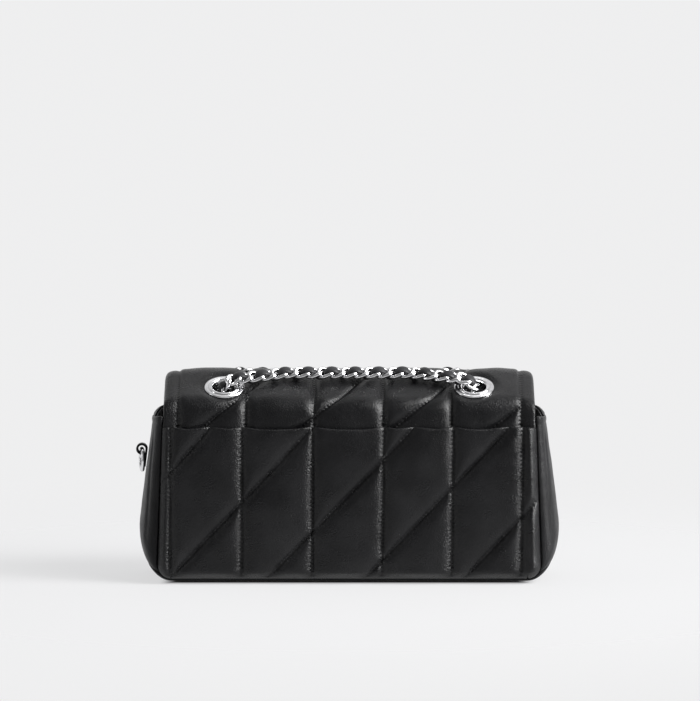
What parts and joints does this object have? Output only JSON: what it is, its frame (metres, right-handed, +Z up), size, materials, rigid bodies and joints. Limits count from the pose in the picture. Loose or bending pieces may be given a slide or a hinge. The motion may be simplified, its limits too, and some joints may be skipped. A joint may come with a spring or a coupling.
{
  "type": "chain shoulder bag",
  "caption": "Small black quilted leather bag with gussets, a back slip pocket, a hinged flap with grommets, a woven chain and lace strap tucked inside, and a side ring",
  "frame": {"origin": "middle of the bounding box on the ground, under the base", "axes": "+X along the width, to the right when the slip pocket side is seen; +Y from the slip pocket side to the flap's closing side; +Z up"},
  "size_m": [0.2094, 0.0654, 0.1065],
  "materials": {
    "black_leather": "soft satin nappa over wadding",
    "black_lace_leather": "satin strap leather",
    "black_lining": "matt woven lining",
    "bonded_board": "bonded leather board",
    "silver_metal": "polished pale silver plating",
    "washer_steel": "plain plated",
    "magnet_steel": "plain"
  },
  "bodies": {
    "bag_body": {"back_panel": "black_leather", "back_stiffener": "bonded_board", "back_lining": "black_lining", "slip_pocket_panel": "black_leather", "slip_pocket_lining": "black_lining", "front_panel": "black_leather", "front_stiffener": "bonded_board", "front_lining": "black_lining", "gusset_left": "black_leather", "gusset_right": "black_leather", "gusset_lining_left": "black_lining", "gusset_lining_right": "black_lining", "base_strip": "black_leather", "base_lining": "black_lining", "base_board": "bonded_board", "inner_pocket": "black_lining", "body_magnet": "magnet_steel", "ring_tab": "black_lace_leather", "ring_tab_rivet": "silver_metal", "chain_stored_left": "silver_metal", "chain_stored_right": "silver_metal", "lace_stored_left": "black_lace_leather", "lace_stored_right": "black_lace_leather"},
    "flap": {"flap_leather": "black_leather", "flap_stiffener": "bonded_board", "flap_lining": "black_lining", "flap_magnet": "magnet_steel", "grommet_back_left": "silver_metal", "grommet_back_right": "silver_metal", "grommet_front_left": "silver_metal", "grommet_front_right": "silver_metal", "grommet_washers": "washer_steel", "chain_back_strand": "silver_metal", "chain_front_strand": "silver_metal", "lace_back_strand": "black_lace_leather", "lace_front_strand": "black_lace_leather"},
    "side_ring": {"side_ring": "silver_metal"}
  },
  "joints": [
    {"name": "flap_hinge", "type": "hinge", "parent": "bag_body", "child": "flap", "pos_m": [0, -0.02695, 0.0845], "axis": [1, 0, 0], "range_deg": [0, 140], "deforming": ["chain_back_strand", "chain_front_strand", "lace_back_strand", "lace_front_strand"]},
    {"name": "side_ring_swing", "type": "hinge", "parent": "bag_body", "child": "side_ring", "pos_m": [-0.10187, 0.00155, 0.0638], "axis": [0, 1, 0], "range_deg": [0, 150]}
  ]
}
